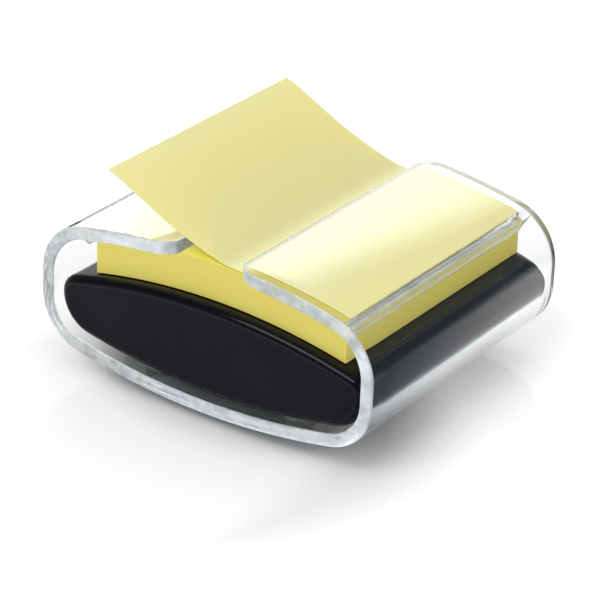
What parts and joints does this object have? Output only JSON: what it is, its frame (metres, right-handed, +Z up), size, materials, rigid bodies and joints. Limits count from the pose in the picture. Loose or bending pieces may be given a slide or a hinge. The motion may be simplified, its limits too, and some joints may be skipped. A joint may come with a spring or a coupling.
{
  "type": "sticky note dispenser",
  "caption": "Desk dispenser for pop-up sticky notes: a clear rounded wrap with a slotted roof, a weighted black lens-shaped base that slides out, and a pad with one note raised.",
  "frame": {"origin": "on the desk, under the middle of the sleeve", "axes": "+X across the oval front, to the right as seen from the front; +Y towards the back; +Z up"},
  "size_m": [0.101, 0.0846, 0.0572],
  "materials": {
    "clear_plastic": "clear, polished",
    "clear_rubber": "clear, soft",
    "black_plastic": "satin faces with polished edges",
    "black_cover": "fine texture",
    "ballast": "as cast",
    "screw_steel": "zinc plated",
    "note_paper": "uncoated pale yellow"
  },
  "bodies": {
    "sleeve": {"clear_sleeve": "clear_plastic", "foot_front_left": "clear_rubber", "foot_front_right": "clear_rubber", "foot_rear_left": "clear_rubber", "foot_rear_right": "clear_rubber"},
    "base": {"base_shell": "black_plastic", "base_cover": "black_cover", "ballast_block": "ballast", "cover_screws": "screw_steel"},
    "pad": {"note_pad": "note_paper", "next_note": "note_paper", "raised_note_tail": "note_paper"},
    "raised_note": {"raised_note": "note_paper"}
  },
  "joints": [
    {"name": "base_slide", "type": "slide", "parent": "sleeve", "child": "base", "axis": [0, -1, 0], "range_m": [0, 0.09]},
    {"name": "pad_slide", "type": "slide", "parent": "base", "child": "pad", "axis": [0, -1, 0], "range_m": [0, 0.083]},
    {"name": "note_lean", "type": "hinge", "parent": "pad", "child": "raised_note", "pos_m": [0.00515, 0, 0.0421], "axis": [0, 1, 0], "range_deg": [0, 62]}
  ]
}
